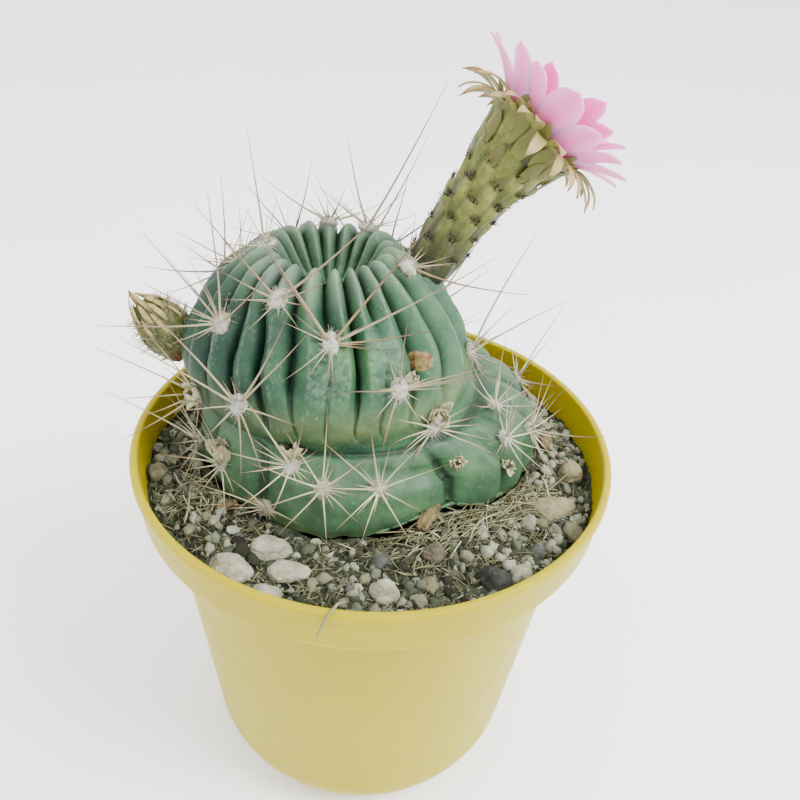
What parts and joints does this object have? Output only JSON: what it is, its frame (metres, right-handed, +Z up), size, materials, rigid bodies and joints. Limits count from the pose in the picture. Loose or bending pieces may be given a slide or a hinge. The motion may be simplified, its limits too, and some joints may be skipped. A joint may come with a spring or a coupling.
{
  "type": "potted round cactus",
  "caption": "Ribbed round cactus on an older, wider tier, with long spines, a bud and an open pink flower on a scaly tube, in gritty soil in a round yellow plastic pot.",
  "frame": {"origin": "centre of the pot's flat underside, on the surface it stands on", "axes": "+Z up along the pot's axis; -Y towards the front of the plant, where its two biggest areoles are; +X to the right seen from the front, the side the flower leans to"},
  "size_m": [0.127, 0.128, 0.1971],
  "materials": {
    "pot_plastic": "satin, moulded, slightly translucent",
    "potting_soil": "matt, crumbly peat and grit with dry roots",
    "stone_white": "matt, rough pumice and quartz grit",
    "stone_tan": "matt, rough stone",
    "stone_black": "matt, rough stone",
    "plant_skin": "waxy satin skin with pale specks",
    "spine_and_felt": "satin horn-like spines on matt felt",
    "tube_skin": "satin, with woolly dark tufts",
    "sepal": "thin, satin, translucent",
    "petal_outer": "thin, silky, translucent",
    "petal_inner": "thin, silky, translucent",
    "stamen": "matt, powdery tips",
    "stigma": "satin",
    "bud_skin": "satin scales with woolly tufts"
  },
  "bodies": {
    "root": {"areole_crown_back": "spine_and_felt", "areole_crown_back_left": "spine_and_felt", "areole_crown_back_right": "spine_and_felt", "areole_crown_left": "spine_and_felt", "areole_crown_right": "spine_and_felt", "areole_far_left": "spine_and_felt", "areole_front_upper": "spine_and_felt", "areole_left": "spine_and_felt", "areole_left_shoulder": "spine_and_felt", "areole_low_right": "spine_and_felt", "areole_rear_lower_1": "spine_and_felt", "areole_rear_lower_2": "spine_and_felt", "areole_rear_lower_3": "spine_and_felt", "areole_rear_lower_4": "spine_and_felt", "areole_rear_middle_1": "spine_and_felt", "areole_rear_middle_2": "spine_and_felt", "areole_rear_middle_3": "spine_and_felt", "areole_rear_middle_4": "spine_and_felt", "areole_rear_upper_1": "spine_and_felt", "areole_rear_upper_2": "spine_and_felt", "areole_rear_upper_3": "spine_and_felt", "areole_rear_upper_4": "spine_and_felt", "areole_right": "spine_and_felt", "areole_right_shoulder": "spine_and_felt", "areole_tier_far_left": "spine_and_felt", "areole_tier_foot": "spine_and_felt", "areole_tier_front": "spine_and_felt", "areole_tier_front_left": "spine_and_felt", "areole_tier_left": "spine_and_felt", "areole_tier_low_left": "spine_and_felt", "areole_tier_low_right": "spine_and_felt", "areole_tier_right": "spine_and_felt", "areole_tier_side": "spine_and_felt", "areole_upper_left": "spine_and_felt", "cactus_body": "plant_skin", "flower_bud": "bud_skin", "flower_petals_inner": "petal_inner", "flower_petals_outer": "petal_outer", "flower_pistil": "stigma", "flower_sepals": "sepal", "flower_stamens": "stamen", "flower_tube": "tube_skin", "pot": "pot_plastic", "soil": "potting_soil", "stone_black": "stone_black", "stone_heart": "stone_tan", "stone_round": "stone_tan", "stone_tan_large": "stone_tan", "stone_white_flat": "stone_white", "stone_white_front": "stone_white", "stone_white_oval": "stone_white", "stone_white_right": "stone_white", "stone_white_tall": "stone_white"}
  },
  "joints": []
}
